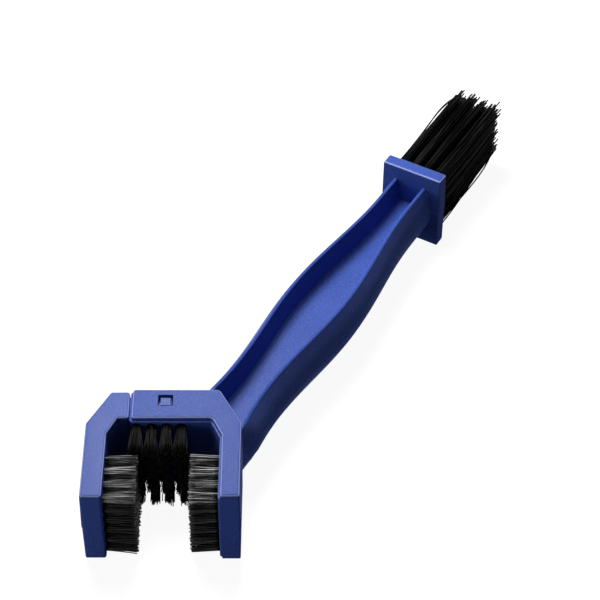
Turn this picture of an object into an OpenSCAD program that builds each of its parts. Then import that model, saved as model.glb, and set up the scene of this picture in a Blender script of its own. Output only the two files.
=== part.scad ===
// Chain cleaning brush: a three-sided bristle head on an I-section handle, with a stiff brush at its end.
// The origin is the centre of the crossbar's underside. X runs along the crossbar, the arms point to -Y,
// and the part lies on Z = 0.

/* [Head] */
// Width of the head across both arms
head_w = 66.4; // [60:0.2:72]
// Depth of the head from the arms' tips to the back of the crossbar
head_l = 60.8; // [56:0.2:66]
// Height of the head and of the end flange
body_h = 41; // [39:0.5:45]
// Depth of the crossbar from front to back
bar_l = 17.8; // [16.6:0.2:19]
// Width of the fixed arm
fixed_arm_w = 9.3; // [8.5:0.1:10.5]
// Width of the detachable side arm
side_arm_w = 9.4; // [8.6:0.1:10.5]
// Width of the bevel on each outer corner
chamfer_w = 9.8; // [8:0.1:12]
// Length of the bevel on each outer corner
chamfer_l = 19.3; // [16:0.1:22]
// Width of the bevel inside each corner
inner_chamfer_w = 4; // [3:0.1:5]
// Length of the bevel inside each corner
inner_chamfer_l = 9; // [7:0.1:10]
// Radius of the rounded upper and lower edges
edge_r = 1; // [0.5:0.1:1.2]
// Width of the stepped ledge round the head's inner edges
ledge_w = 0.9; // [0.5:0.1:1.2]
// Height of the raised top plate over the ledge
ledge_h = 1.8; // [1.2:0.1:2.2]

/* [Socket] */
// Distance from the head's left side to the socket's mouth
mouth_l = 18.5; // [17:0.1:20]
// Wall in front of the socket, which holds the bridge tufts
socket_front_t = 6.8; // [6:0.1:7.5]
// Wall behind the socket
socket_back_t = 2.8; // [2:0.1:3.2]
// Wall over and under the socket
socket_roof_t = 2.2; // [1.8:0.1:2.6]
// Length of the side arm's tongue inside the socket
tongue_l = 27.5; // [25:0.5:30]
// Clearance round the tongue and under the side arm
fit_gap = 0.3; // [0.2:0.05:0.5]

/* [Latch] */
// Distance from the socket's mouth to the latch's tooth
tooth_x = 12.9; // [11:0.1:15]
// Length of the tooth along the crossbar
tooth_l = 4.1; // [3.5:0.1:5]
// Depth of the tooth's top below the head's top face
tooth_drop = 0.8; // [0.5:0.1:1]
// Width of the spring finger
finger_w = 4.3; // [3.8:0.1:4.6]
// Thickness of the spring finger
finger_t = 2; // [1.6:0.1:2.2]
// Margin between the tooth and the window round it
window_gap = 1.1; // [0.8:0.1:1.2]

/* [Handle] */
// Angle of the handle from the crossbar
handle_turn = 60; // [57:0.1:62]
// Distance from the head's centre to where the handle's axis crosses the crossbar
handle_x = 22.6; // [20:0.1:23]
// Distance along the axis from the crossbar to the end flange
handle_l = 173.6; // [160:0.2:185]
// Height of the handle over its rims
handle_h = 26.5; // [24:0.5:30]
// Half width over the rims at the narrow neck by the head
neck_w = 10.5; // [9.5:0.1:11.5]
// Half width over the rims at the grip
grip_w = 14.1; // [12.5:0.1:15.5]
// Half width over the rims at the flange
tail_w = 8.5; // [7.6:0.1:9.5]
// How far the handle flares from its neck to the head
flare_w = 2.7; // [2.2:0.1:3.2]
// How far the outer walls bulge at mid height by the head
bulge_head = 4.8; // [4:0.1:5.4]
// How far the outer walls bulge at mid height by the flange
bulge_tail = 3.4; // [2.8:0.1:4.5]
// Thickness of the two rims
rim_t = 2; // [1.6:0.1:2.4]
// Thickness of the web between the channels
web_t = 2.2; // [1.8:0.1:3]

/* [Flange] */
// Width of the end flange
flange_w = 31; // [28:0.2:33]
// Thickness of the end flange
flange_t = 6.7; // [6:0.1:8]

/* [Bristles] */
// Length of the side arm's bristles
side_bristle_l = 14; // [12:0.5:15]
// Length of the fixed arm's bristles
fixed_bristle_l = 12; // [10:0.5:13]
// Length of the crossbar's bristles
bridge_bristle_l = 14.4; // [12:0.2:15]
// Length of the end brush's bristles
end_bristle_l = 63; // [55:1:70]
// Height from one row of tufts to the next in the head
row_pitch = 6.2; // [5.4:0.1:6.3]
// Distance from one tuft to the next along an arm
arm_tuft_pitch = 6.9; // [6.4:0.1:7]
// Distance from one tuft to the next along the crossbar
bridge_tuft_pitch = 6.3; // [6:0.1:6.5]
// Height from one row of tufts to the next in the end brush
end_row_pitch = 6.2; // [5.6:0.1:6.5]
// Distance from one tuft to the next across the end brush
end_tuft_pitch = 6.2; // [5.6:0.1:6.6]
// Radius of a tuft at its root in the head
tuft_r = 2.1; // [1.8:0.1:2.2]
// Radius of a tuft at its root in the end brush
end_tuft_r = 2.2; // [1.8:0.1:2.2]
// How far the lowest row of the end brush leans upwards by its ends
end_lift = 7; // [0:0.5:8]

/* [Hidden] */

// How far every cut runs past the face that it opens
overrun = 1;
// How far a piece sinks into the moulding that it is fused to
sink = 1;
mid_z = body_h / 2;

// Head: the fixed moulding's outline
front_y = -bar_l / 2;
back_y = bar_l / 2;
tip_y = back_y - head_l;
mouth_x = mouth_l - head_w / 2;
corner_steps = 4;
edge_steps = 4;
// Small groove left on every side wall where the two halves of the mould met
seam_w = 0.3;
seam_t = 0.12;
// How far the outer walls lean inwards from the seam to either face, and how far the lower half is set back
draft_w = 0.3;
setback = 0.25;
// Least radius of an upright corner on any layer
least_r = 0.15;
// Height over which the ledge's narrow shelf slopes outwards
shelf_rise = 0.12;

// Radii of the upright corners, as shares of the edge radius, from the socket's mouth round by the front
fixed_corner_shares = [1.8, 1, 1, 1.1, 1.1, 2.1, 2.6, 1.8];
side_corner_shares = [1.1, 1, 1, 1.3, 1.3, 1.5, 1.5, 1.3];
// Sides that carry the ledge, and sides that lean, each marked 1
fixed_ledge_sides = [1, 1, 1, 0, 0, 0, 0, 1];
hook_lean_sides = [0, 0, 0, 1, 1, 1, 1, 0];
flange_lean_sides = [1, 1, 0, 1];

// Side arm: smaller than the sleeve that it plugs into
side_low = 0.5;
side_front_inset = 1.3;
side_back_inset = 1;

// Socket and tongue
socket_y0 = front_y + socket_front_t;
socket_y1 = back_y - socket_back_t;
socket_end_gap = 0.5;
tongue_y0 = socket_y0 + fit_gap;
tongue_y1 = socket_y1 - fit_gap;
tongue_z0 = socket_roof_t + fit_gap;
tongue_z1 = body_h - socket_roof_t - fit_gap;

// Latch finger: it turns on a knuckle at its root
finger_y = (tongue_y0 + tongue_y1) / 2;
finger_top = tongue_z1 - fit_gap;
knuckle_r = 1.2;
knuckle_x = mouth_x + knuckle_r + 2 * fit_gap;
knuckle_z = finger_top - knuckle_r;
tooth_x0 = mouth_x + tooth_x;
tooth_x1 = tooth_x0 + tooth_l;
ramp_l = 1.2;
finger_end = tooth_x1 + ramp_l;
// Depth of the free space under the finger, for its full press
press_room = 3.8;
// Play between the knuckle and its seat
knuckle_gap = 0.2;

// Handle: stations along the axis, from the crossbar's centre line
handle_start = -6;
neck_s = 29;
flare_l = 28;
// Station nearer than which the flare grows no more, inside the head
flare_stop_s = 2;
grip_s = 87;
tail_s = 158.5;
handle_steps = 44;
// Points of the outer wall on either side of the seam
wall_steps = 4;
rim_r = rim_t / 2;
// Slope of the channel's inner walls, from rim to floor
channel_draft = 1.2;
floor_r = 1.2;
// Part of the bulge that is left where the handle sinks into the arm
bulge_start_share = 0.3;
bulge_full_s = 8;

// Flange
flange_off = 0.6;
flange_corner_r = 1;
end_s = handle_l + flange_t;

// Bristle rows
rows = 6;
arm_tufts = 4;
bridge_tufts = 4;
end_rows = 6;
end_tufts = 4;
// Sides of a tuft, and the strands in it
tuft_sides = 5;
slice_h = 4.6;
slice_t = 0.8;
plug_l = 1.4;
slice_gap = 0.05;
arm_first_tuft = 3.6;
bridge_first_tuft = 3;
// Share of its sector that a strand's root and its end fill
strand_root_share = 0.8;
strand_end_share = 0.95;
// How far the strands spread towards their ends
head_spread_share = 1.9;
end_spread_share = 1;
head_uneven = 0.6;
end_uneven = 5;

// Anchor wires, which hold each folded tuft in its hole
anchor_w = 0.4;
anchor_h = 1.6;
hole_sides = 8;
hole_gap = 0.2;

// Vectors
function unit(v) = v / norm(v);
function inward(p, q) = [-unit(q - p)[1], unit(q - p)[0]];
function ease(t) = (1 - cos(180 * min(max(t, 0), 1))) / 2;

// Outline of a counterclockwise polygon with each side moved inwards by its own distance
function inset_corner(n1, n2, d1, d2, c) = (d1 * (n1 - c * n2) + d2 * (n2 - c * n1)) / (1 - c * c);
function inset(points, d) = [
    for (i = [0:len(points) - 1])
        let (
            last = (i + len(points) - 1) % len(points),
            next = (i + 1) % len(points),
            n1 = inward(points[last], points[i]),
            n2 = inward(points[i], points[next])
        )
        points[i] + inset_corner(n1, n2, d[last], d[i], n1 * n2)
];

// Points of the arc that rounds corner p between its neighbours a and b
function corner_arc(a, p, b, r, steps) =
    let (
        u = unit(a - p),
        v = unit(b - p),
        half = acos(u * v) / 2,
        centre = p + unit(u + v) * r / sin(half),
        start = p + u * r / tan(half) - centre,
        side = cross(u, v) > 0 ? -1 : 1
    )
    [
        for (j = [0:steps])
            let (turn = side * (180 - 2 * half) * j / steps)
            centre + [
                start[0] * cos(turn) - start[1] * sin(turn),
                start[0] * sin(turn) + start[1] * cos(turn)
            ]
    ];

// Radius of corner i once its sides have moved inwards: bulging corners tighten, hollow ones open
function moved_radius(points, r, d, i) =
    let (
        last = (i + len(points) - 1) % len(points),
        next = (i + 1) % len(points),
        hollow = cross(points[i] - points[last], points[next] - points[i]) < 0,
        by = (d[last] + d[i]) / 2
    )
    hollow ? r[i] + by : max(r[i] - by, least_r);

// A rounded outline at height z
function layer(points, radii, d, z) =
    let (moved = inset(points, d))
    [
        for (i = [0:len(points) - 1])
            let (
                last = (i + len(points) - 1) % len(points),
                next = (i + 1) % len(points),
                r = moved_radius(points, radii, d, i)
            )
            for (p = corner_arc(moved[last], moved[i], moved[next], r, corner_steps))
                [p[0], p[1], z]
    ];

// A solid built up of layers of equal count, closed by caps that list the points of each flat piece
module stack(layers, caps) {
    n = len(layers[0]);
    top = (len(layers) - 1) * n;
    walls = [
        for (k = [0:len(layers) - 2])
            for (i = [0:n - 1])
                let (j = (i + 1) % n)
                [k * n + i, (k + 1) * n + i, (k + 1) * n + j, k * n + j]
    ];
    lower = [for (cap = caps) cap];
    // Turned over for the top, still drawn from its first point
    upper = [for (cap = caps) [for (i = [len(cap):-1:1]) top + cap[i % len(cap)]]];
    polyhedron([for (l = layers) each l], concat(walls, lower, upper));
}

// Quarter round of an edge, as pairs of inset and height
function edge_round(r) = [
    for (j = [0:edge_steps])
        let (turn = 90 * j / edge_steps)
        [r * (1 - sin(turn)), r * (1 - cos(turn))]
];

// How far a leaning wall is set back at height z
function lean(z) = draft_w * abs(z - mid_z) / mid_z + (z > mid_z ? 0 : setback);

// Layers of a moulding from z0 to z1, with round edges, a ledge at both ends and a seam at mid height
function moulding_layers(points, radii, ledges, leans, z0, z1) =
    let (
        even = [for (i = [1:len(points)]) 1],
        rounds = edge_round(edge_r),
        stepped = norm(ledges) > 0,
        steps = concat(
            [for (e = rounds) [e[0] * even + ledges, z0 + e[1]]],
            stepped ? [[ledges, z0 + ledge_h], [0 * even, z0 + ledge_h + shelf_rise]] : [],
            [[0 * even, mid_z - seam_w / 2], [seam_t * even, mid_z], [0 * even, mid_z + seam_w / 2]],
            stepped ? [[0 * even, z1 - ledge_h - shelf_rise], [ledges, z1 - ledge_h]] : [],
            [for (j = [edge_steps:-1:0]) [rounds[j][0] * even + ledges, z1 - rounds[j][1]]]
        )
    )
    [for (step = steps) layer(points, radii, step[0] + lean(step[1]) * leans, step[1])];

// Flat pieces of a hooked outline's caps, each drawn from a corner on its outer side
function corner_points(i) = [for (j = [0:corner_steps]) i * (corner_steps + 1) + j];
function first_point(i) = i * (corner_steps + 1);
function last_point(i) = i * (corner_steps + 1) + corner_steps;
hook_caps = [
    concat(corner_points(6), corner_points(7), corner_points(0), corner_points(1)),
    concat(corner_points(5), [first_point(6)], [last_point(1)], corner_points(2)),
    concat(corner_points(4), [first_point(5)], [last_point(2)], corner_points(3))
];

// A hooked moulding: an arm on the right, both corners bevelled, and a bar that ends at end_x
function hook_outline(arm_w, end_x, y0, y1) =
    let (
        right = head_w / 2,
        inner = right - arm_w,
        low_y = back_y - chamfer_l
    )
    [
        [end_x, y0], [inner - inner_chamfer_w, y0], [inner, y0 - inner_chamfer_l], [inner, tip_y],
        [right, tip_y], [right, low_y], [right - chamfer_w, y1], [end_x, y1]
    ];

module hook(arm_w, end_x, y0, y1, radii, ledges, z0, z1) {
    points = hook_outline(arm_w, end_x, y0, y1);
    stack(moulding_layers(points, radii, ledges, hook_lean_sides, z0, z1), hook_caps);
}

// Half widths of the handle at a station along its axis
function rim_half(s) =
    s < neck_s ? neck_w + flare_w * pow((neck_s - max(s, flare_stop_s)) / flare_l, 2)
    : s < grip_s ? neck_w + (grip_w - neck_w) * ease((s - neck_s) / (grip_s - neck_s))
    : grip_w + (tail_w - grip_w) * ease((s - grip_s) / (tail_s - grip_s));
function bulge(s) =
    let (
        along = bulge_head + (bulge_tail - bulge_head) * max(s, 0) / handle_l,
        start = ease((s - handle_start) / (bulge_full_s - handle_start))
    )
    along * (bulge_start_share + (1 - bulge_start_share) * start);

// A quarter of the I section, from the rim's outer shoulder to the middle of the channel's floor
function rim_quarter(w, h) =
    let (
        shoulder = h - rim_r,
        inner = w - rim_t,
        floor_z = web_t / 2,
        foot = inner - channel_draft
    )
    concat(
        [for (j = [1:4]) [w - rim_r + rim_r * cos(45 * j), shoulder + rim_r * sin(45 * j)]],
        [[foot, floor_z + floor_r], [foot - floor_r / 3, floor_z + floor_r / 3], [foot - floor_r, floor_z]]
    );
function outer_wall(w, b, h) =
    let (
        shoulder = h - rim_r,
        upper = [for (j = [1:wall_steps]) shoulder * j / wall_steps],
        lower = [for (j = [wall_steps:-1:1]) -shoulder * j / wall_steps]
    )
    [
        for (z = concat(lower, [-seam_w / 2, 0, seam_w / 2], upper))
            [w + b * (1 - pow(z / shoulder, 2)) - (z == 0 ? seam_t : 0), z]
    ];
function section(w, b, h) =
    let (
        wall = outer_wall(w, b, h),
        quarter = rim_quarter(w, h),
        n = len(quarter) - 1
    )
    concat(
        wall,
        quarter,
        [for (j = [n:-1:0]) [-quarter[j][0], quarter[j][1]]],
        [for (j = [wall_n - 1:-1:0]) [-wall[j][0], wall[j][1]]],
        [for (p = quarter) [-p[0], -p[1]]],
        [for (j = [n:-1:0]) [quarter[j][0], -quarter[j][1]]]
    );

// The section's end caps: two rims with their walls, drawn from the seam, and the web between them
quarter_n = 7;
wall_n = 2 * wall_steps + 3;
wall_mid = wall_steps + 1;
right_foot = wall_n + quarter_n - 1;
left_foot = right_foot + 1;
left_wall = left_foot + quarter_n;
left_low_foot = left_wall + wall_n + quarter_n - 1;
right_low_foot = left_low_foot + 1;
section_n = 2 * wall_n + 4 * quarter_n;
handle_caps = [
    concat(
        [for (j = [wall_mid:right_foot]) j],
        [for (j = [right_low_foot:section_n - 1]) j],
        [for (j = [0:wall_mid - 1]) j]
    ),
    [right_foot, left_foot, left_low_foot, right_low_foot],
    concat(
        [for (j = [left_wall + wall_mid:left_low_foot]) j],
        [for (j = [left_foot:left_wall + wall_mid - 1]) j]
    )
];

// Places things in the handle's frame: X runs across, to the right, and Y along the axis
module on_handle() {
    translate([handle_x, 0, mid_z])
        rotate([0, 0, handle_turn - 90])
            children();
}

module handle_beam() {
    steps = [
        for (k = [0:handle_steps])
            handle_start + (handle_l + sink - handle_start) * k / handle_steps
    ];
    layers = [
        for (s = steps)
            [for (p = section(rim_half(s), bulge(s), handle_h / 2)) [-p[0], s, p[1]]]
    ];
    stack(layers, handle_caps);
}

// The end flange, a thick upright plate across the handle's end
module flange() {
    near = flange_off - flange_w / 2;
    points = [[near, handle_l], [near + flange_w, handle_l], [near + flange_w, end_s], [near, end_s]];
    radii = [flange_corner_r, flange_corner_r, flange_corner_r, flange_corner_r];
    all_round = [[for (i = [0:4 * (corner_steps + 1) - 1]) i]];
    translate([0, 0, -mid_z])
        stack(moulding_layers(points, radii, 0 * radii, flange_lean_sides, 0, body_h), all_round);
}

// Heights and places of the tufts
function row_z(row) = mid_z + (row - (rows + 1) / 2) * row_pitch;
function end_row_z(row) = mid_z + (row - (end_rows + 1) / 2) * end_row_pitch;
arm_places = [for (i = [0:arm_tufts - 1]) tip_y + arm_first_tuft + i * arm_tuft_pitch];
bridge_places = [for (i = [0:bridge_tufts - 1]) mouth_x + bridge_first_tuft + i * bridge_tuft_pitch];
end_places = [for (i = [0:end_tufts - 1]) (i - (end_tufts - 1) / 2) * end_tuft_pitch];
fixed_face_x = head_w / 2 - fixed_arm_w;
side_face_x = side_arm_w - head_w / 2;

// Frames of the four beds of tufts: X along the row, Z up, and the bristles point to -Y
module on_side_bed() {
    translate([side_face_x, 0, 0]) rotate([0, 0, 90]) children();
}
module on_fixed_bed() {
    translate([fixed_face_x, 0, 0]) rotate([0, 0, -90]) children();
}
module on_bridge_bed() {
    translate([0, front_y, 0]) children();
}
module on_end_bed() {
    on_handle() translate([flange_off, end_s, -mid_z]) rotate([0, 0, 180]) children();
}
function reversed(list) = [for (i = [len(list) - 1:-1:0]) -list[i]];

// Where the slice under a row of tufts starts and ends
function slice_ends(places) = [places[0] - slice_h / 2, places[len(places) - 1] + slice_h / 2];

// Cuts for one row of tufts: a groove for the slice, and a round hole for each tuft and its anchor
module bed_cuts(places, z, r) {
    ends = slice_ends(places);
    translate([ends[0] - slice_gap, -overrun, z - slice_h / 2 - slice_gap])
        cube([ends[1] - ends[0] + 2 * slice_gap, overrun + slice_t, slice_h + 2 * slice_gap]);
    for (u = places)
        translate([u, slice_t + plug_l + anchor_h, z])
            rotate([90, 360 / hole_sides / 2, 0])
                cylinder(r = r + hole_gap, h = plug_l + anchor_h + sink, $fn = hole_sides);
}

// A row of tufts on its slice of backing. Each tuft is a ring of sectors with one strand in each.
function ring(u, z, r) = [
    for (i = [0:tuft_sides - 1])
        [u + r * cos(360 * i / tuft_sides), z + r * sin(360 * i / tuft_sides)]
];
function middle(a, b, c) = (a + b + c) / 3;
function strand_points(u, z, r, length, spread, uneven, lengths, lift) =
    let (
        rim = ring(u, z, r),
        hub = [u, z]
    )
    [
        for (i = [0:tuft_sides - 1])
            let (
                sector = [hub, rim[i], rim[(i + 1) % tuft_sides]],
                c = middle(sector[0], sector[1], sector[2]),
                out = hub + (c - hub) * spread + [0, lift],
                end = length + uneven * lengths[i]
            )
            each [
                for (p = [for (q = sector) c + (q - c) * strand_root_share]) [p[0], 0, p[1]],
                for (p = [for (q = sector) out + (q - c) * strand_end_share]) [p[0], -end, p[1]]
            ]
    ];

// Points of one tuft's cell: front rim, hub, back rim, plug end, then the strands
function tuft_points(u, z, r, length, spread, uneven, lengths, lift) = concat(
    [for (p = ring(u, z, r)) [p[0], 0, p[1]]],
    [[u, 0, z]],
    [for (p = ring(u, z, r)) [p[0], slice_t, p[1]]],
    [for (p = ring(u, z, r)) [p[0], slice_t + plug_l, p[1]]],
    strand_points(u, z, r, length, spread, uneven, lengths, lift)
);
tuft_n = 3 * tuft_sides + 1 + 6 * tuft_sides;

// Corner of the cell that a side of the ring looks at, and the faces between the ring and the cell
function near_corner(i) = floor(4 * ((i + tuft_sides) % tuft_sides + 1 / 2) / tuft_sides);
function collar_faces(ring_start, corners) = concat(
    [
        for (i = [0:tuft_sides - 1])
            [ring_start + i, ring_start + (i + 1) % tuft_sides, corners[near_corner(i)]]
    ],
    [
        for (i = [0:tuft_sides - 1])
            if (near_corner(i) != near_corner(i - 1))
                [ring_start + i, corners[near_corner(i)], corners[near_corner(i - 1)]]
    ]
);
function flipped(faces) = [for (f = faces) [for (i = [len(f) - 1:-1:0]) f[i]]];
function tuft_faces(start, front, back) =
    let (
        hub = start + tuft_sides,
        back_ring = hub + 1,
        plug_ring = back_ring + tuft_sides,
        strands = plug_ring + tuft_sides
    )
    concat(
        collar_faces(start, front),
        flipped(collar_faces(back_ring, back)),
        [
            for (i = [0:tuft_sides - 1])
                let (j = (i + 1) % tuft_sides)
                [back_ring + i, back_ring + j, plug_ring + j, plug_ring + i]
        ],
        [[for (i = [0:tuft_sides - 1]) plug_ring + i]],
        [
            for (i = [0:tuft_sides - 1])
                let (
                    edge = [hub, start + i, start + (i + 1) % tuft_sides],
                    root = strands + 6 * i
                )
                each concat(
                    [
                        for (k = [0:2])
                            let (next = (k + 1) % 3)
                            [edge[next], edge[k], root + k, root + next]
                    ],
                    [
                        for (k = [0:2])
                            let (next = (k + 1) % 3)
                            [root + next, root + k, root + 3 + k, root + 3 + next]
                    ],
                    [[root + 5, root + 4, root + 3]]
                )
        ]
    );

module tuft_row(places, z, r, length, spread, uneven, seed, lift = 0) {
    n = len(places);
    ends = slice_ends(places);
    walls = [
        for (i = [0:n])
            i == 0 ? ends[0] : i == n ? ends[1] : (places[i - 1] + places[i]) / 2
    ];
    lengths = rands(-1, 1, n * tuft_sides, seed);
    frame = [
        for (u = walls)
            each [
                [u, 0, z - slice_h / 2], [u, 0, z + slice_h / 2],
                [u, slice_t, z - slice_h / 2], [u, slice_t, z + slice_h / 2]
            ]
    ];
    cells = [
        for (i = [0:n - 1])
            each tuft_points(
                places[i], z, r, length, spread, uneven,
                [for (k = [0:tuft_sides - 1]) lengths[i * tuft_sides + k]], lift
            )
    ];
    faces = [
        for (i = [0:n - 1])
            let (
                a = 4 * i,
                b = 4 * i + 4
            )
            each concat(
                tuft_faces(4 * n + 4 + i * tuft_n, [b + 1, a + 1, a, b], [b + 3, a + 3, a + 2, b + 2]),
                [[a + 3, b + 3, b + 1, a + 1], [b + 2, a + 2, a, b]]
            )
    ];
    outer = [[2, 3, 1, 0], [4 * n + 3, 4 * n + 2, 4 * n, 4 * n + 1]];
    polyhedron(concat(frame, cells), concat(faces, outer));
}

module anchors(places, z, r) {
    for (u = places)
        translate([u - anchor_w / 2, slice_t + plug_l, z - r + hole_gap])
            cube([anchor_w, anchor_h, 2 * (r - hole_gap)]);
}

// One moulding: the fixed arm, the crossbar with its socket, the handle and the end flange
module handle_frame() {
    color([0.13, 0.2, 0.62])
        difference() {
            union() {
                hook(
                    fixed_arm_w, mouth_x, front_y, back_y,
                    edge_r * fixed_corner_shares, ledge_w * fixed_ledge_sides, 0, body_h
                );
                on_handle() {
                    handle_beam();
                    flange();
                }
            }
            translate([mouth_x - overrun, socket_y0, socket_roof_t])
                cube([
                    overrun + tongue_l + socket_end_gap,
                    socket_y1 - socket_y0,
                    body_h - 2 * socket_roof_t
                ]);
            translate([tooth_x0 - window_gap, finger_y - finger_w / 2 - window_gap, finger_top])
                cube([tooth_l + ramp_l + window_gap, finger_w + 2 * window_gap, body_h]);
            for (row = [1:rows]) {
                on_fixed_bed() bed_cuts(reversed(arm_places), row_z(row), tuft_r);
                on_bridge_bed() bed_cuts(bridge_places, row_z(row), tuft_r);
            }
            for (row = [1:end_rows])
                on_end_bed() bed_cuts(end_places, end_row_z(row), end_tuft_r);
        }
}

// The detachable arm, with the tongue that slides into the crossbar
module side_arm() {
    stub_x = mouth_x - fit_gap;
    slot_w = finger_w + 2 * fit_gap;
    color([0.15, 0.23, 0.66])
        difference() {
            union() {
                mirror([1, 0, 0])
                    hook(
                        side_arm_w, -stub_x, front_y + side_front_inset, back_y - side_back_inset,
                        edge_r * side_corner_shares, 0 * side_corner_shares, side_low, body_h - side_low
                    );
                translate([stub_x - sink, tongue_y0, tongue_z0])
                    cube([sink + fit_gap + tongue_l, tongue_y1 - tongue_y0, tongue_z1 - tongue_z0]);
            }
            translate([knuckle_x, finger_y - slot_w / 2, knuckle_z - press_room])
                cube([finger_end + fit_gap - knuckle_x, slot_w, body_h]);
            translate([knuckle_x, finger_y + slot_w / 2, knuckle_z])
                rotate([90, 0, 0])
                    cylinder(r = knuckle_r + knuckle_gap, h = slot_w, $fn = 32);
            translate([knuckle_x - knuckle_r - knuckle_gap, finger_y - slot_w / 2, knuckle_z])
                cube([knuckle_r + knuckle_gap, slot_w, body_h]);
            for (row = [1:rows])
                on_side_bed() bed_cuts(arm_places, row_z(row), tuft_r);
        }
}

// The spring finger and its tooth, which shows in the window
module snap_latch() {
    tooth_top = body_h - tooth_drop;
    profile = [
        [knuckle_x, finger_top - finger_t], [finger_end, finger_top - finger_t], [finger_end, finger_top],
        [tooth_x1, tooth_top], [tooth_x0, tooth_top], [tooth_x0, finger_top], [knuckle_x, finger_top]
    ];
    color([0.15, 0.23, 0.66])
        union() {
            translate([0, finger_y + finger_w / 2, 0])
                rotate([90, 0, 0])
                    linear_extrude(finger_w)
                        polygon(profile);
            translate([knuckle_x, finger_y + finger_w / 2, knuckle_z])
                rotate([90, 0, 0])
                    cylinder(r = knuckle_r, h = finger_w, $fn = 32);
        }
}

module side_arm_tufts(row) {
    color([0.05, 0.05, 0.05])
        on_side_bed()
            tuft_row(arm_places, row_z(row), tuft_r, side_bristle_l, head_spread_share, head_uneven, row);
}

module fixed_arm_tufts(row) {
    color([0.05, 0.05, 0.05])
        on_fixed_bed()
            tuft_row(
                reversed(arm_places), row_z(row), tuft_r, fixed_bristle_l,
                head_spread_share, head_uneven, rows + row
            );
}

module bridge_tufts(row) {
    color([0.05, 0.05, 0.05])
        on_bridge_bed()
            tuft_row(
                bridge_places, row_z(row), tuft_r, bridge_bristle_l,
                head_spread_share, head_uneven, 2 * rows + row
            );
}

module end_tufts(row) {
    color([0.05, 0.05, 0.05])
        on_end_bed()
            tuft_row(
                end_places, end_row_z(row), end_tuft_r, end_bristle_l,
                end_spread_share, end_uneven, 3 * rows + row,
                end_lift * (end_rows - row) / (end_rows - 1)
            );
}

module side_arm_anchors() {
    color([0.75, 0.75, 0.78])
        for (row = [1:rows])
            on_side_bed() anchors(arm_places, row_z(row), tuft_r);
}

module fixed_arm_anchors() {
    color([0.75, 0.75, 0.78])
        for (row = [1:rows])
            on_fixed_bed() anchors(reversed(arm_places), row_z(row), tuft_r);
}

module bridge_anchors() {
    color([0.75, 0.75, 0.78])
        for (row = [1:rows])
            on_bridge_bed() anchors(bridge_places, row_z(row), tuft_r);
}

module end_anchors() {
    color([0.75, 0.75, 0.78])
        for (row = [1:end_rows])
            on_end_bed() anchors(end_places, end_row_z(row), end_tuft_r);
}

handle_frame();
side_arm();
snap_latch();
side_arm_tufts(1);  // side_arm_tufts_row_1
side_arm_tufts(2);  // side_arm_tufts_row_2
side_arm_tufts(3);  // side_arm_tufts_row_3
side_arm_tufts(4);  // side_arm_tufts_row_4
side_arm_tufts(5);  // side_arm_tufts_row_5
side_arm_tufts(6);  // side_arm_tufts_row_6
fixed_arm_tufts(1);  // fixed_arm_tufts_row_1
fixed_arm_tufts(2);  // fixed_arm_tufts_row_2
fixed_arm_tufts(3);  // fixed_arm_tufts_row_3
fixed_arm_tufts(4);  // fixed_arm_tufts_row_4
fixed_arm_tufts(5);  // fixed_arm_tufts_row_5
fixed_arm_tufts(6);  // fixed_arm_tufts_row_6
bridge_tufts(1);  // bridge_tufts_row_1
bridge_tufts(2);  // bridge_tufts_row_2
bridge_tufts(3);  // bridge_tufts_row_3
bridge_tufts(4);  // bridge_tufts_row_4
bridge_tufts(5);  // bridge_tufts_row_5
bridge_tufts(6);  // bridge_tufts_row_6
end_tufts(1);  // end_tufts_row_1
end_tufts(2);  // end_tufts_row_2
end_tufts(3);  // end_tufts_row_3
end_tufts(4);  // end_tufts_row_4
end_tufts(5);  // end_tufts_row_5
end_tufts(6);  // end_tufts_row_6
side_arm_anchors();
fixed_arm_anchors();
bridge_anchors();
end_anchors();
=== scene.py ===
# Chain cleaning brush: a moulded blue frame and side arm, with dense black filaments in every tuft
import math

import bpy
import numpy as np
from mathutils import Matrix, Vector


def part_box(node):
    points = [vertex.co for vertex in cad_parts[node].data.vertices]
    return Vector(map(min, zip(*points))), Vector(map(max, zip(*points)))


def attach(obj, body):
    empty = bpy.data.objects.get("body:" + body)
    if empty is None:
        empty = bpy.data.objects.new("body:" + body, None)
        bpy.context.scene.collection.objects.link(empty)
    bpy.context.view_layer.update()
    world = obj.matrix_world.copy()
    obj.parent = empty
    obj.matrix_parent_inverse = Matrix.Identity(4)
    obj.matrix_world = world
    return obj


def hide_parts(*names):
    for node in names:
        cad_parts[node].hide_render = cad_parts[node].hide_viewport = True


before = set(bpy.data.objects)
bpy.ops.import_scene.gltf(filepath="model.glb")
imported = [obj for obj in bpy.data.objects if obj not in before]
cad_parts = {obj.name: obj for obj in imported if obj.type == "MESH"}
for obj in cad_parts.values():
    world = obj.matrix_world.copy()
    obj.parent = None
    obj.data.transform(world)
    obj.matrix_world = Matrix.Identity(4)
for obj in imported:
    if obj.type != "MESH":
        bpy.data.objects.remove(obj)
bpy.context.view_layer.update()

MM = 0.001

# Directions. The handle's axis crosses the crossbar's at HANDLE_X, in millimetres.
RIGHT = Vector((1, 0, 0))
BACK = Vector((0, 1, 0))
UP = Vector((0, 0, 1))
HANDLE_TURN = math.radians(60)
HANDLE_X = 22.6
ALONG = Vector((math.cos(HANDLE_TURN), math.sin(HANDLE_TURN), 0))
ACROSS = Vector((math.sin(HANDLE_TURN), -math.cos(HANDLE_TURN), 0))

# Grid of tufts in each bed, and how far under its face the middles of its anchors lie, in millimetres
ROWS = 6
TUFTS = 4
ROW_PITCH = 6.2
ANCHOR_DEPTH = 3.0

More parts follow.
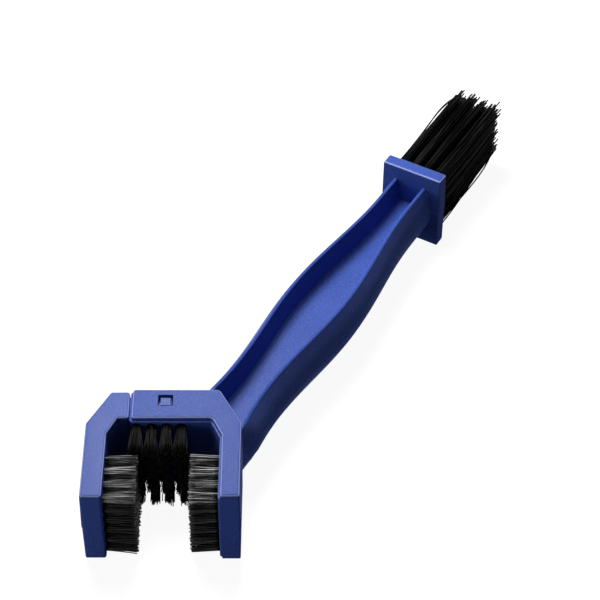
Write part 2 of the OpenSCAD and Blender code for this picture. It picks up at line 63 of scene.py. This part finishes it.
# Each bed has the direction of its rows, the way its bristles point and its body. A tuft has its pitch
# along the row, its radius at the root, its length and how uneven that is, how far each row spreads and
# leans from root to tip, how far tips may stray from the tuft's middle, and how far the lowest row is
# lifted. A filament has its radius, its bend, and the sides and steps of its tube. Lengths are in
# millimetres.
ARM_TUFTS = {
    "row": BACK, "pitch": 6.9, "root": 2.1, "uneven": 0.6,
    "spreads": [1.5, 1.55, 1.55, 1.55, 1.45, 1.2], "lean": [0] * ROWS, "reach": 3.3, "lift": 0,
    "filaments": 46, "radius": 0.23, "bend": 0.4, "sides": 5, "steps": 5,
}
BEDS = {
    "side_arm": {**ARM_TUFTS, "out": RIGHT, "body": "side_arm", "length": 13.3, "seed": 100},
    "fixed_arm": {**ARM_TUFTS, "out": -RIGHT, "body": "frame", "length": 12.0, "seed": 200},
    "bridge": {
        "row": RIGHT, "out": -BACK, "body": "frame",
        "pitch": 6.3, "root": 2.1, "length": 14.4, "uneven": 1.1,
        "spreads": [1.15, 1.45, 1.75, 1.8, 1.8, 1.5], "lean": [0.9, 0.7, 0.4, 0.2, 0, 0],
        "reach": 6, "lift": 0,
        "filaments": 56, "radius": 0.22, "bend": 0.45, "sides": 5, "steps": 5, "seed": 300,
    },
    "end": {
        "row": -ACROSS, "out": ALONG, "body": "frame",
        "pitch": 6.2, "root": 2.2, "length": 61.0, "uneven": 4.0,
        "spreads": [1.4] * ROWS, "lean": [-0.9] * ROWS, "reach": 6, "lift": 7.0,
        "filaments": 28, "radius": 0.35, "bend": 0.55, "sides": 6, "steps": 14, "seed": 400,
    },
}

# The moulding's face round the tufts, as a strip for each row, in millimetres. CORNER_ROOM is the least
# angle in radians between a hole's points and the corners of its cell, and TINY keeps quotients finite.
STRIP_H = 4.6
STRIP_T = 0.8
STRIP_GAP = 0.05
HOLE_GAP = 0.2
HOLE_SIDES = 28
CORNER_ROOM = 0.06
TINY = 1e-9


def bed_middle(name, out):
    """The middle of a bed's face, straight out from the middle of its anchors in the frame."""
    low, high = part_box(f"{name}_anchors")
    return (low + high) / (2 * MM) + ANCHOR_DEPTH * out


def tuft_places(bed):
    """Where a row's tufts stand, from its middle."""
    return [bed["pitch"] * (i - (TUFTS - 1) / 2) for i in range(TUFTS)]


def row_rise(row):
    """How far a row stands above the middle of its bed."""
    return (row - (ROWS + 1) / 2) * ROW_PITCH


def row_lift(bed, row):
    """How far a row's ends lean upwards: most in the lowest row."""
    return bed["lift"] * (ROWS - row) / (ROWS - 1)


def new_mesh(name, points, faces, smooth):
    """A mesh object in metres from points in millimetres."""
    mesh = bpy.data.meshes.new(name)
    mesh.from_pydata((np.asarray(points) * MM).tolist(), [], faces)
    mesh.polygons.foreach_set("use_smooth", smooth)
    mesh.validate()
    mesh.update()
    piece = bpy.data.objects.new(name, mesh)
    bpy.context.scene.collection.objects.link(piece)
    return piece


# Bristles: every filament is a tube of its own. Roots vary by ROOT_JITTER and whole tufts lean by
# TUFT_LEAN, in millimetres. LENGTH_SPREAD is a share of a tuft's unevenness and WAVE_SHARE one of its bend.
GOLDEN_ANGLE = math.pi * (3 - math.sqrt(5))
ROOT_JITTER = 0.08
TUFT_LEAN = 0.2
LENGTH_SPREAD = 0.5
FLARE_POWER = 1.1
WAVE_SHARE = 0.25


def disc_places(count, radius):
    """Evenly packed places on a disc."""
    i = np.arange(count)
    r = radius * np.sqrt((i + 0.5) / count)
    return np.stack([r * np.cos(i * GOLDEN_ANGLE), r * np.sin(i * GOLDEN_ANGLE)], 1)


def tubes(paths, radius, sides):
    """Points and faces of closed tubes round paths of shape (tube, step, 3)."""
    count, steps, _ = paths.shape
    tangent = np.gradient(paths, axis=1)
    tangent /= np.linalg.norm(tangent, axis=2, keepdims=True)
    helper = np.array([0.0, 0.0, 1.0])
    side = np.cross(tangent, helper)
    side /= np.linalg.norm(side, axis=2, keepdims=True)
    up = np.cross(side, tangent)
    turn = 2 * math.pi * np.arange(sides) / sides
    ring = side[:, :, None] * np.cos(turn)[:, None]
    ring += up[:, :, None] * np.sin(turn)[:, None]
    points = paths[:, :, None] + radius * ring
    index = np.arange(count * steps * sides).reshape(count, steps, sides)
    a, b = index[:, :-1], index[:, 1:]
    a2, b2 = np.roll(a, -1, axis=2), np.roll(b, -1, axis=2)
    walls = np.stack([a, a2, b2, b], -1).reshape(-1, 4).tolist()
    roots = index[:, 0, ::-1].tolist()
    tips = index[:, -1].tolist()
    smooth = [True] * len(walls) + [False] * (len(roots) + len(tips))
    return points.reshape(-1, 3), walls + roots + tips, smooth


def tuft_paths(bed, row, rng):
    """Paths of one tuft's filaments in the bed's axes: along the row, up, and out of the bed."""
    count = bed["filaments"]
    root = disc_places(count, bed["root"] - bed["radius"])
    root += rng.normal(0, ROOT_JITTER, root.shape)
    lean = rng.normal(0, TUFT_LEAN, 2) + (bed["lean"][row - 1], 0)
    tip = root * bed["spreads"][row - 1] + lean + rng.normal(0, bed["bend"], root.shape)
    tip = np.clip(tip, -bed["reach"], bed["reach"])
    length = bed["length"] + bed["uneven"] * np.clip(rng.normal(0, LENGTH_SPREAD, count), -1, 1)
    t = np.linspace(0, 1, bed["steps"])[None, :, None]
    wave = rng.normal(0, bed["bend"] * WAVE_SHARE, (count, 1, 2))
    flat = root[:, None] + (tip - root)[:, None] * t**FLARE_POWER + wave * np.sin(math.pi * t)
    out = -STRIP_T + (length + STRIP_T)[:, None] * t[:, :, 0]
    return np.concatenate([flat, out[:, :, None]], axis=2)


# Bristles of the end brush that stand off its sides: row, place along the row, how far they bow out,
# and the share of the length at which they bow most. They end STRAY_SHORT below the brush's tips.
STRAYS = [
    (6, 11.3, 1.9, 0.8),
    (6, 11.4, 1.5, 0.76),
    (5, 11.2, 0.9, 0.48),
    (1, -11.3, -1.2, 0.26),
    (2, -11.3, -0.9, 0.3),
    (1, -11.3, -2.0, 0.68),
    (2, -11.4, -1.9, 0.78),
]
STRAY_SHORT = 2


def stray_paths(bed, row):
    """Single long filaments at the sides of the brush, in the bed's own axes."""
    t = np.linspace(0, 1, bed["steps"])
    out = -STRIP_T + (bed["length"] + STRIP_T - STRAY_SHORT) * t
    paths = []
    for at_row, place, bow, where in STRAYS:
        if at_row == row:
            power = math.log(0.5) / math.log(where)
            off = bow * np.sin(math.pi * t**power)
            paths.append(np.stack([place + off + bed["lean"][0] * t, 0 * t, out], 1))
    return paths


def bristle_row(name, bed, row):
    """One row of tufts as a single piece, in place of the solid row."""
    rng = np.random.default_rng(bed["seed"] + row)
    tufts = [tuft_paths(bed, row, rng) + (place, 0, 0) for place in tuft_places(bed)]
    if bed["lift"]:
        tufts += [path[None] for path in stray_paths(bed, row)]
    paths = np.concatenate(tufts)
    lift = row_lift(bed, row) * np.clip(paths[:, :, 2] / bed["length"], 0, 1)
    along = paths[:, :, :1] * np.array(bed["row"])
    up = (paths[:, :, 1] + row_rise(row) + lift)[:, :, None] * np.array(UP)
    out = paths[:, :, 2:] * np.array(bed["out"])
    placed = np.array(bed["middle"]) + along + up + out
    points, faces, smooth = tubes(placed, bed["radius"], bed["sides"])
    return new_mesh(name, points, faces, smooth)


# Backing: the moulding's face round the holes of one row
def cell_angles(left, right, half):
    """Angles of a ring round a hole, with one at each corner of its cell."""
    even = [2 * math.pi * i / HOLE_SIDES for i in range(HOLE_SIDES)]
    corners = [math.atan2(y, x) % (2 * math.pi) for x in (right, -left) for y in (half, -half)]
    kept = [a for a in even if all(abs(a - c) > CORNER_ROOM for c in corners)]
    return sorted(kept + corners)


def rim_point(angle, left, right, half):
    """Where a ray from the hole's centre meets the cell's edge."""
    c, s = math.cos(angle), math.sin(angle)
    across = (right if c > 0 else left) / max(abs(c), TINY)
    reach = min(across, half / max(abs(s), TINY))
    return c * reach, s * reach


def backing_row(name, bed, row):
    """A strip of the moulding's face with a hole for each tuft of a row."""
    half = STRIP_H / 2 + STRIP_GAP
    places = tuft_places(bed)
    walls = [places[0] - half]
    walls += [(a + b) / 2 for a, b in zip(places, places[1:])]
    walls += [places[-1] + half]
    hole_r = bed["root"] + HOLE_GAP
    points, faces = [], []

    def put(u, v, depth):
        at = bed["middle"] + u * bed["row"] + (v + row_rise(row)) * UP - depth * bed["out"]
        points.append(tuple(at))

    for place, low, high in zip(places, walls, walls[1:]):
        left, right = place - low, high - place
        angles = cell_angles(left, right, half)
        start, n = len(points), len(angles)
        for angle in angles:
            u, v = rim_point(angle, left, right, half)
            hole_u, hole_v = hole_r * math.cos(angle), hole_r * math.sin(angle)
            put(place + u, v, 0)
            put(place + hole_u, hole_v, 0)
            put(place + hole_u, hole_v, STRIP_T)
            put(place + u, v, STRIP_T)
        for i in range(n):
            a, b = start + 4 * i, start + 4 * ((i + 1) % n)
            faces += [(a + k, b + k, b + k + 1, a + k + 1) for k in range(3)]
    return new_mesh(name, points, faces, [False] * len(faces))


# Materials: colours are linear, noise scales are per metre, and depths are in metres
GRAIN_SCALE = 2100
SPECK_SCALE = 1700
SPECK_AT = (0.42, 0.68)
SPECK_SHARE = 0.6
CLOUD_SCALE = 45
DEEP_BLUE = (0.034, 0.065, 0.29)
CLEAR_BLUE = (0.043, 0.080, 0.345)
SPECK_BLUE = (0.06, 0.13, 0.50)
# The lighter blue below is a painted highlight on the rounded upper edges
PAINTED_EDGE_HIGHLIGHT_BLUE = (0.32, 0.38, 0.72)
PLASTIC_ROUGHNESS = 0.25
FINE_ROUGHNESS = 0.04
EDGE_HIGHLIGHT_ROUGHNESS_SHARE = 0.6
WALL_ROUGHNESS_SHARE = 2.9
PLASTIC_GLOSS = 0.07

# Where normals are those of a rounded upper edge, which gets a painted highlight, or of an upright wall, by
# their z
EDGE_RISE = (0.35, 0.6)
EDGE_FALL = (0.82, 0.95)
WALL_FALL = (0.25, 0.6)

# Where the painted edge highlights end on the head and start on the flange, in millimetres along the
# handle, and where they end beside the head, in millimetres along x
HEAD_FADE = (12.5, 14.5)
FLANGE_FADE = (172.5, 173.5)
SIDE_FADE = (33.2, 33.4)

# Black nylon is streaked along its filaments
NYLON_STRETCH = 30
NYLON_MOTTLE = 0.04

STEEL_SCALE = 1500
STEEL_ROUGHNESS = (0.3, 0.5)
DULL_STEEL = (0.45, 0.45, 0.47)
BRIGHT_STEEL = (0.6, 0.6, 0.62)


def node_material(name):
    """A cleared material with its shader, and the object's own place for its textures."""
    material = bpy.data.materials.new(name)
    material.use_nodes = True
    nodes, links = material.node_tree.nodes, material.node_tree.links
    nodes.clear()
    output = nodes.new("ShaderNodeOutputMaterial")
    shader = nodes.new("ShaderNodeBsdfPrincipled")
    links.new(shader.outputs["BSDF"], output.inputs["Surface"])
    place = nodes.new("ShaderNodeTexCoord")
    return material, nodes, links, shader, place.outputs["Object"]


def noise(nodes, links, place, scale, detail=2.0, roughness=0.5):
    """Noise in the object's own place, with its scale per metre."""
    texture = nodes.new("ShaderNodeTexNoise")
    texture.inputs["Scale"].default_value = scale
    texture.inputs["Detail"].default_value = detail
    texture.inputs["Roughness"].default_value = roughness
    links.new(place, texture.inputs["Vector"])
    return texture.outputs["Fac"]


def spread(nodes, links, value, low, high, at=(0.3, 0.7)):
    """Maps a noise value to a range."""
    mapped = nodes.new("ShaderNodeMapRange")
    mapped.inputs["From Min"].default_value = at[0]
    mapped.inputs["From Max"].default_value = at[1]
    mapped.inputs["To Min"].default_value = low
    mapped.inputs["To Max"].default_value = high
    links.new(value, mapped.inputs["Value"])
    return mapped.outputs["Result"]


def joined(nodes, links, operation, first, second, clamp=False):
    """Two values added or multiplied."""
    node = nodes.new("ShaderNodeMath")
    node.operation = operation
    node.use_clamp = clamp
    links.new(first, node.inputs[0])
    links.new(second, node.inputs[1])
    return node.outputs["Value"]


def mix_colours(nodes, links, share, first, second):
    """A mix of two colours, each given as a tuple or as another node's output."""
    mix = nodes.new("ShaderNodeMix")
    mix.data_type = "RGBA"
    links.new(share, mix.inputs["Factor"])
    for socket, colour in ((mix.inputs["A"], first), (mix.inputs["B"], second)):
        if isinstance(colour, tuple):
            socket.default_value = (*colour, 1)
        else:
            links.new(colour, socket)
    return mix.outputs["Result"]


def normal_z(nodes, links):
    """How far a face looks up, from -1 to 1."""
    face = nodes.new("ShaderNodeTexCoord")
    parts = nodes.new("ShaderNodeSeparateXYZ")
    links.new(face.outputs["Normal"], parts.inputs["Vector"])
    return parts.outputs["Z"]


def edge_highlight_share(nodes, links, place):
    """1 on the rounded upper edges of the head and the flange, which get a painted highlight, else 0."""
    up = normal_z(nodes, links)
    rise = spread(nodes, links, up, 0, 1, EDGE_RISE)
    fall = spread(nodes, links, up, 1, 0, EDGE_FALL)
    down_handle = nodes.new("ShaderNodeVectorMath")
    down_handle.operation = "DOT_PRODUCT"
    down_handle.inputs[1].default_value = ALONG
    links.new(place, down_handle.inputs[0])
    parts = nodes.new("ShaderNodeSeparateXYZ")
    links.new(place, parts.inputs["Vector"])
    start = HANDLE_X * ALONG.x
    beside = spread(nodes, links, parts.outputs["X"], 1, 0, [x * MM for x in SIDE_FADE])
    station = down_handle.outputs["Value"]
    near = spread(nodes, links, station, 1, 0, [(start + s) * MM for s in HEAD_FADE])
    flange = spread(nodes, links, station, 0, 1, [(start + s) * MM for s in FLANGE_FADE])
    head = joined(nodes, links, "MULTIPLY", beside, near)
    ends = joined(nodes, links, "ADD", head, flange)
    rounded = joined(nodes, links, "MULTIPLY", rise, fall)
    return joined(nodes, links, "MULTIPLY", rounded, ends)


def wall_share(nodes, links):
    """1 on upright walls, which are more matt than the tops, and 0 on faces that look up or down."""
    level = nodes.new("ShaderNodeMath")
    level.operation = "ABSOLUTE"
    links.new(normal_z(nodes, links), level.inputs[0])
    return spread(nodes, links, level.outputs["Value"], 1, 0, WALL_FALL)


def plastic_roughness(nodes, links, fine, cloud, mottle, edge):
    """Roughness with a fine and a cloudy part, lower on the edges with the painted highlight and higher on
    walls.
    """
    small = spread(nodes, links, fine, -FINE_ROUGHNESS, FINE_ROUGHNESS)
    large = spread(nodes, links, cloud, PLASTIC_ROUGHNESS - mottle, PLASTIC_ROUGHNESS + mottle)
    rough = joined(nodes, links, "ADD", small, large)
    on_edges = spread(nodes, links, edge, 1, EDGE_HIGHLIGHT_ROUGHNESS_SHARE, (0, 1))
    on_walls = spread(nodes, links, wall_share(nodes, links), 1, WALL_ROUGHNESS_SHARE, (0, 1))
    edge_highlighted = joined(nodes, links, "MULTIPLY", rough, on_edges)
    return joined(nodes, links, "MULTIPLY", edge_highlighted, on_walls)


def moulded_plastic(name, grain, mottle):
    """Blue moulded plastic. grain is the depth of its spark-eroded texture, mottle its cloudiness."""
    material, nodes, links, shader, place = node_material(name)
    fine = noise(nodes, links, place, GRAIN_SCALE, detail=1)
    cloud = noise(nodes, links, place, CLOUD_SCALE, detail=3)
    speck = noise(nodes, links, place, SPECK_SCALE, detail=1)
    edge = edge_highlight_share(nodes, links, place)
    clouded = mix_colours(nodes, links, spread(nodes, links, cloud, 0, 1), DEEP_BLUE, CLEAR_BLUE)
    specks = spread(nodes, links, speck, 0, SPECK_SHARE, SPECK_AT)
    specked = mix_colours(nodes, links, specks, clouded, SPECK_BLUE)
    # Lighter blue mixed in on the rounded upper edges: a painted highlight
    edge_highlighted = mix_colours(nodes, links, edge, specked, PAINTED_EDGE_HIGHLIGHT_BLUE)
    links.new(edge_highlighted, shader.inputs["Base Color"])
    rough = plastic_roughness(nodes, links, fine, cloud, mottle, edge)
    links.new(rough, shader.inputs["Roughness"])
    bump = nodes.new("ShaderNodeBump")
    bump.inputs["Distance"].default_value = grain
    bump.inputs["Strength"].default_value = 1
    links.new(fine, bump.inputs["Height"])
    links.new(bump.outputs["Normal"], shader.inputs["Normal"])
    shader.inputs["Specular IOR Level"].default_value = PLASTIC_GLOSS
    return material


def bristle_nylon(name, turn, dark, light, gloss, rough, scale=1900, at=(0.42, 0.72)):
    """Black nylon, streaked between two greys along its filaments, which run at the angle turn from x.
    scale and at are the noise's scale and the range in which it goes from dark to light."""
    material, nodes, links, shader, place = node_material(name)
    along = nodes.new("ShaderNodeMapping")
    along.vector_type = "TEXTURE"
    along.inputs["Rotation"].default_value = (0, 0, turn)
    along.inputs["Scale"].default_value = (NYLON_STRETCH, 1, 1)
    links.new(place, along.inputs["Vector"])
    tone = noise(nodes, links, along.outputs["Vector"], scale, detail=1)
    share = spread(nodes, links, tone, 0, 1, at)
    links.new(mix_colours(nodes, links, share, (dark,) * 3, (light,) * 3), shader.inputs["Base Color"])
    mottled = spread(nodes, links, tone, rough - NYLON_MOTTLE, rough + NYLON_MOTTLE)
    links.new(mottled, shader.inputs["Roughness"])
    shader.inputs["Specular IOR Level"].default_value = gloss
    return material


def flat_steel(name):
    """Bare flat wire with faint patches."""
    material, nodes, links, shader, place = node_material(name)
    streak = noise(nodes, links, place, STEEL_SCALE)
    shade = mix_colours(nodes, links, spread(nodes, links, streak, 0, 1), DULL_STEEL, BRIGHT_STEEL)
    links.new(shade, shader.inputs["Base Color"])
    links.new(spread(nodes, links, streak, *STEEL_ROUGHNESS), shader.inputs["Roughness"])
    shader.inputs["Metallic"].default_value = 1
    return material


def paint(piece, material):
    """Puts a material on the whole piece."""
    if not piece.material_slots:
        piece.data.materials.append(material)
    for place in piece.material_slots:
        place.link = "OBJECT"
        place.material = material


# Points nearer than WELD_GAP, in metres, are joined, and edges that turn more than CORNER_TURN stay sharp
WELD_GAP = 0.00001
CORNER_TURN = math.radians(32)
FLAT_WEIGHT = 80


def soften(piece):
    """Shades a moulding's rounded edges smoothly. Its own points stay as they are."""
    if piece.data.attributes.get("custom_normal"):
        piece.data.attributes.remove(piece.data.attributes["custom_normal"])
    piece.data.polygons.foreach_set("use_smooth", [True] * len(piece.data.polygons))
    weld = piece.modifiers.new("join_facets", "WELD")
    weld.merge_threshold = WELD_GAP
    split = piece.modifiers.new("keep_corners", "EDGE_SPLIT")
    split.split_angle = CORNER_TURN
    even = piece.modifiers.new("even_flats", "WEIGHTED_NORMAL")
    even.weight = FLAT_WEIGHT
    piece.data.update()


# Materials of the part
grained_blue = moulded_plastic("grained_blue_plastic", grain=0.00013, mottle=0.02)
smooth_blue = moulded_plastic("smooth_blue_plastic", grain=0.00005, mottle=0.05)
arm_nylon = bristle_nylon("black_nylon", turn=0, dark=0.003, light=0.035, gloss=0.14, rough=0.2)
# The bridge's nylon is darker than the arms': painted shade under the crossbar
shaded_bridge_nylon = bristle_nylon(
    "shaded_black_nylon", turn=math.pi / 2, dark=0.002, light=0.02, gloss=0.03, rough=0.22
)
end_nylon = bristle_nylon(
    "long_black_nylon", turn=HANDLE_TURN, dark=0.001, light=0.02, gloss=0.02, rough=0.26,
    scale=1300, at=(0.5, 0.75),
)
# The lighter nylon below is a painted highlight on the arms' top rows, where the lamps light them from
# above
top_row_highlight_nylon = bristle_nylon(
    "black_nylon_painted_highlight", turn=0, dark=0.002, light=0.5, gloss=0.3, rough=0.2,
    scale=1300, at=(0.46, 0.66),
)
nylons = {"side_arm": arm_nylon, "fixed_arm": arm_nylon, "bridge": shaded_bridge_nylon, "end": end_nylon}
steel = flat_steel("anchor_steel")
node_plastics = {"handle_frame": grained_blue, "side_arm": smooth_blue, "snap_latch": smooth_blue}

for node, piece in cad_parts.items():
    if node in node_plastics:
        paint(piece, node_plastics[node])
        soften(piece)
    elif node.endswith("_anchors"):
        paint(piece, steel)

for bed_name, bed in BEDS.items():
    bed["middle"] = bed_middle(bed_name, bed["out"])
    on_side_arm = bed["body"] == "side_arm"
    for row in range(1, ROWS + 1):
        piece = bristle_row(f"{bed_name}_bristles_row_{row}", bed, row)
        # The top row of each arm takes the lighter nylon, a painted highlight
        highlit_top_row = bed_name.endswith("_arm") and row == ROWS
        paint(piece, top_row_highlight_nylon if highlit_top_row else nylons[bed_name])
        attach(piece, bed["body"])
        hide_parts(f"{bed_name}_tufts_row_{row}")
        plate = backing_row(f"{bed_name}_backing_row_{row}", bed, row)
        paint(plate, smooth_blue if on_side_arm else grained_blue)
        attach(plate, bed["body"])

# Camera, at the photograph's angle. It looks at CAMERA_TARGET from CAMERA_DISTANCE, both in metres.
CAMERA_TARGET = Vector((57.36, 105.53, 0)) * MM
CAMERA_DISTANCE = 1.06348
CAMERA_ELEVATION = math.radians(44.139)
CAMERA_AZIMUTH = math.radians(0.089)
CAMERA_ROLL = math.radians(-0.021)
SENSOR_WIDTH = 36
LENS = 135.53
NEAREST = 0.01


def add_camera():
    """A camera at its distance from the target, level but for the small roll."""
    data = bpy.data.cameras.new("photo_camera")
    data.sensor_width = SENSOR_WIDTH
    data.lens = LENS
    data.clip_start = NEAREST
    camera = bpy.data.objects.new("photo_camera", data)
    bpy.context.scene.collection.objects.link(camera)
    e, a = CAMERA_ELEVATION, CAMERA_AZIMUTH
    back = Vector((math.sin(a) * math.cos(e), -math.cos(a) * math.cos(e), math.sin(e)))
    right = Vector((math.cos(a), math.sin(a), 0))
    turned = Matrix.Rotation(CAMERA_ROLL, 3, back) @ right
    up = back.cross(turned)
    axes = Matrix((turned, up, back)).transposed()
    at = CAMERA_TARGET + back * CAMERA_DISTANCE
    camera.matrix_world = Matrix.Translation(at) @ axes.to_4x4()
    bpy.context.scene.camera = camera


add_camera()


# Stage: a plain pale floor, a dim even surround, two soft lamps behind and above, and a low fill from
# the left. Each lamp has its name, place, target and size, in metres, and its watts.
FLOOR_SIZE = 12
FLOOR_Z = -0.0003
FLOOR_GREY = (0.22, 0.22, 0.22, 1)
FLOOR_GLOW = (0.93, 0.93, 0.93, 1)
SURROUND_LIGHT = 0.06
LAMPS = [
    ("top_softbox", (-0.06, 0.25, 0.5), (0.03, 0.06, 0), 0.26, 2.0),
    ("back_softbox", (-0.01, 0.3, 0.4), (0.03, 0.04, 0), 0.17, 1.4),
    ("front_fill", (-0.64, -0.4, 0.14), (0.03, 0.0, 0.02), 0.26, 1.7),
]


def seen_directly(nodes, links):
    """1 for rays from the camera and for mirror and glass rays, else 0."""
    path = nodes.new("ShaderNodeLightPath")
    total = path.outputs["Is Camera Ray"]
    for ray in ("Is Glossy Ray", "Is Transmission Ray"):
        total = joined(nodes, links, "ADD", total, path.outputs[ray], clamp=True)
    return total


def add_floor():
    """A floor that shows the object's shadow and is white where it is seen directly."""
    bpy.ops.mesh.primitive_plane_add(size=FLOOR_SIZE, location=(0, 0, FLOOR_Z))
    floor = bpy.context.object
    floor.name = "floor"
    material = bpy.data.materials.new("pale_floor")
    material.use_nodes = True
    nodes, links = material.node_tree.nodes, material.node_tree.links
    nodes.clear()
    output = nodes.new("ShaderNodeOutputMaterial")
    lit = nodes.new("ShaderNodeBsdfDiffuse")
    lit.inputs["Color"].default_value = FLOOR_GREY
    glow = nodes.new("ShaderNodeEmission")
    links.new(seen_directly(nodes, links), glow.inputs["Strength"])
    glow.inputs["Color"].default_value = FLOOR_GLOW
    total = nodes.new("ShaderNodeAddShader")
    links.new(lit.outputs["BSDF"], total.inputs[0])
    links.new(glow.outputs["Emission"], total.inputs[1])
    links.new(total.outputs["Shader"], output.inputs["Surface"])
    floor.data.materials.append(material)


def add_surround():
    """A world that lights the object dimly and is white where it is seen directly."""
    world = bpy.data.worlds.new("surround")
    bpy.context.scene.world = world
    world.use_nodes = True
    nodes, links = world.node_tree.nodes, world.node_tree.links
    background = nodes["Background"]
    background.inputs["Color"].default_value = (1, 1, 1, 1)
    strength = nodes.new("ShaderNodeMapRange")
    strength.inputs["To Min"].default_value = SURROUND_LIGHT
    strength.inputs["To Max"].default_value = 1
    links.new(seen_directly(nodes, links), strength.inputs["Value"])
    links.new(strength.outputs["Result"], background.inputs["Strength"])


def add_lamp(name, at, towards, size, watts):
    """A square lamp that shines from its place towards its target, unseen by the camera."""
    data = bpy.data.lights.new(name, "AREA")
    data.shape = "SQUARE"
    data.size = size
    data.energy = watts
    lamp = bpy.data.objects.new(name, data)
    lamp.visible_camera = False
    bpy.context.scene.collection.objects.link(lamp)
    lamp.location = at
    lamp.rotation_mode = "QUATERNION"
    lamp.rotation_quaternion = (Vector(towards) - Vector(at)).to_track_quat("-Z", "Y")


add_floor()
add_surround()
for lamp_values in LAMPS:
    add_lamp(*lamp_values)
bpy.context.scene.view_settings.view_transform = "Standard"
